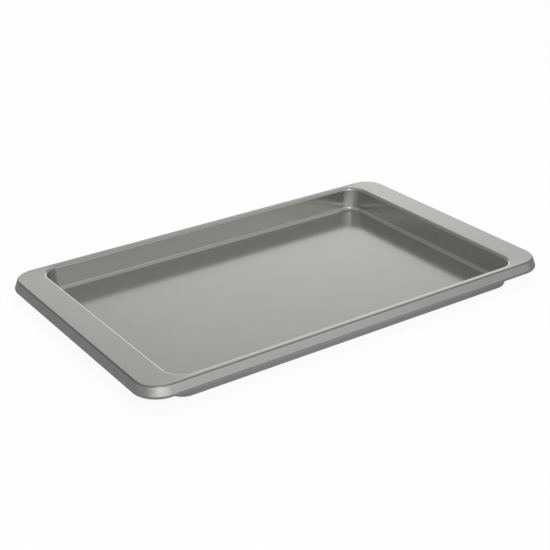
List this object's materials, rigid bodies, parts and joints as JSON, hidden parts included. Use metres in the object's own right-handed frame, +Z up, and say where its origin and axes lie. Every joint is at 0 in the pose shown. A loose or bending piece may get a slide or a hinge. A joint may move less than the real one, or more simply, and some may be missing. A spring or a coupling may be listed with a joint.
{
  "type": "jelly roll pan",
  "caption": "Shallow rectangular baking pan with drafted walls, a flat rim widened into a grip at each end, and a flared skirt rolled round a stiffening wire.",
  "frame": {"origin": "on the surface that the pan stands on, under the middle of its flat base", "axes": "+X along the long sides, from one end grip to the other, +Y across, +Z up out of the cavity"},
  "size_m": [0.4444, 0.2738, 0.0254],
  "materials": {
    "nonstick_coating": "smooth grey non-stick coating with a low metallic sheen, baked on steel",
    "wire_steel": "plain drawn steel wire, bright and uncoated"
  },
  "bodies": {
    "root": {"pan_shell": "nonstick_coating", "rim_wire": "wire_steel"}
  },
  "joints": []
}
